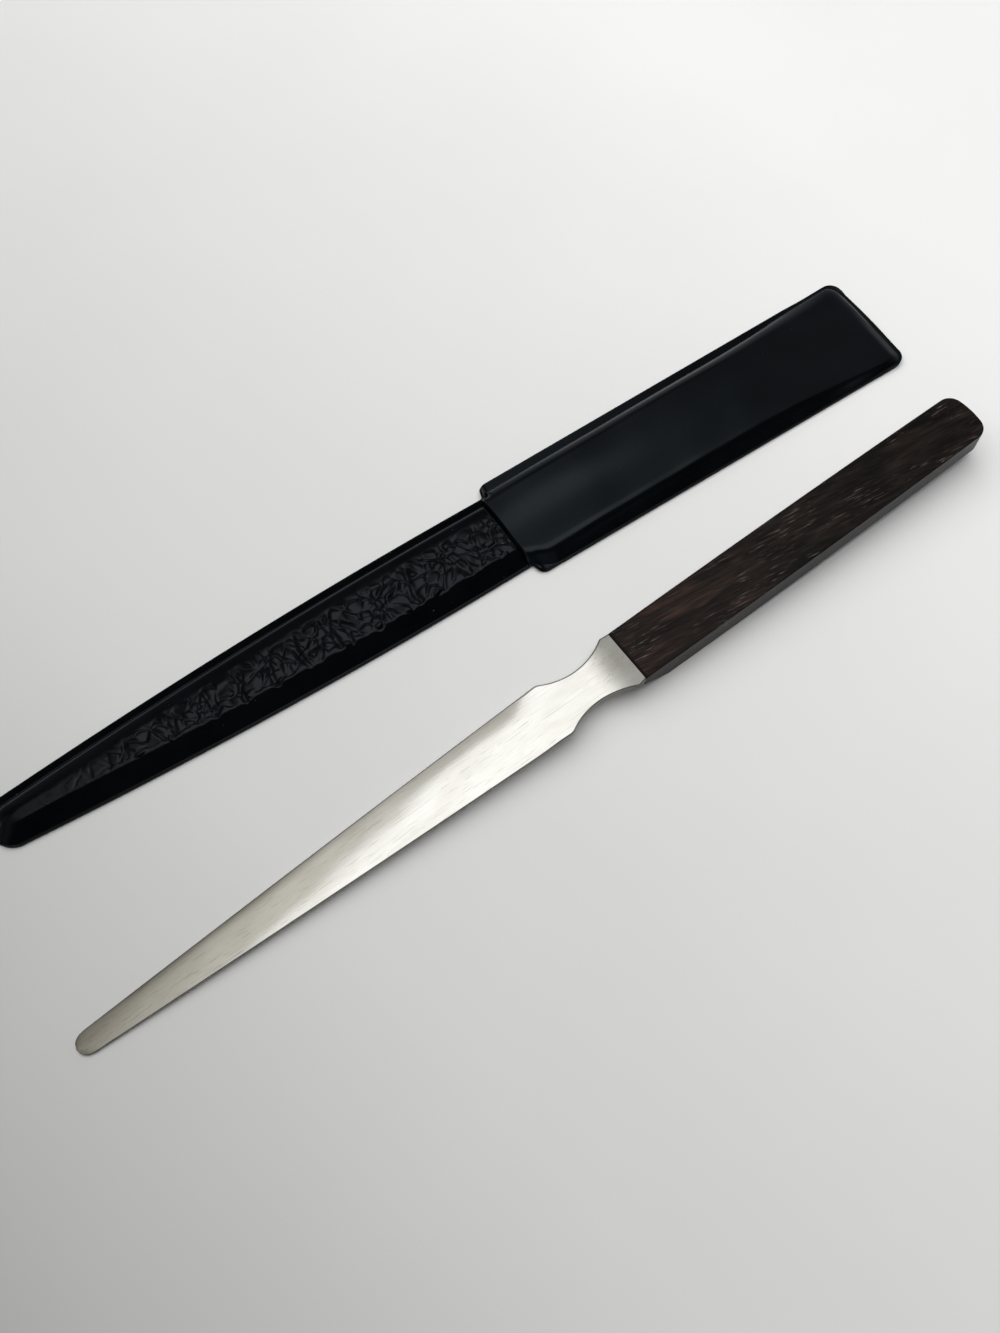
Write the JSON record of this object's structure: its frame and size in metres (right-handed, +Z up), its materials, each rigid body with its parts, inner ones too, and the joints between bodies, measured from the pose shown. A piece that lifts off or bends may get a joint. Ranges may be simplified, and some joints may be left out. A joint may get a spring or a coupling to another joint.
{
  "type": "letter opener",
  "caption": "Slim letter opener with a tapered steel blade and a dark wooden handle, lying beside its black vinyl sheath with a padded handle pocket and an embossed blade pocket.",
  "frame": {"origin": "middle of the sheath's flat back, on the desk", "axes": "+X along the sheath from its closed tip to its mouth, +Y from the opener towards the sheath, +Z up"},
  "size_m": [0.2203, 0.0602, 0.0097],
  "materials": {
    "satin_steel": "satin",
    "rosewood": "oiled, open pored",
    "epoxy": "cured adhesive",
    "smooth_vinyl": "satin",
    "embossed_vinyl": "crocodile emboss, semi-gloss",
    "lining_vinyl": "matte",
    "chipboard": "grey card"
  },
  "bodies": {
    "sheath": {"sheath_back_cover": "smooth_vinyl", "sheath_back_board": "chipboard", "sheath_back_lining": "lining_vinyl", "sheath_blade_cover": "embossed_vinyl", "sheath_handle_lining": "lining_vinyl", "sheath_handle_board": "chipboard", "sheath_handle_cover": "smooth_vinyl"},
    "opener": {"blade": "satin_steel", "handle": "rosewood", "tang_adhesive": "epoxy"}
  },
  "joints": [
    {"name": "opener_lift", "type": "slide", "parent": "sheath", "child": "opener", "axis": [0, 0, 1], "range_m": [0, 0.08]}
  ]
}
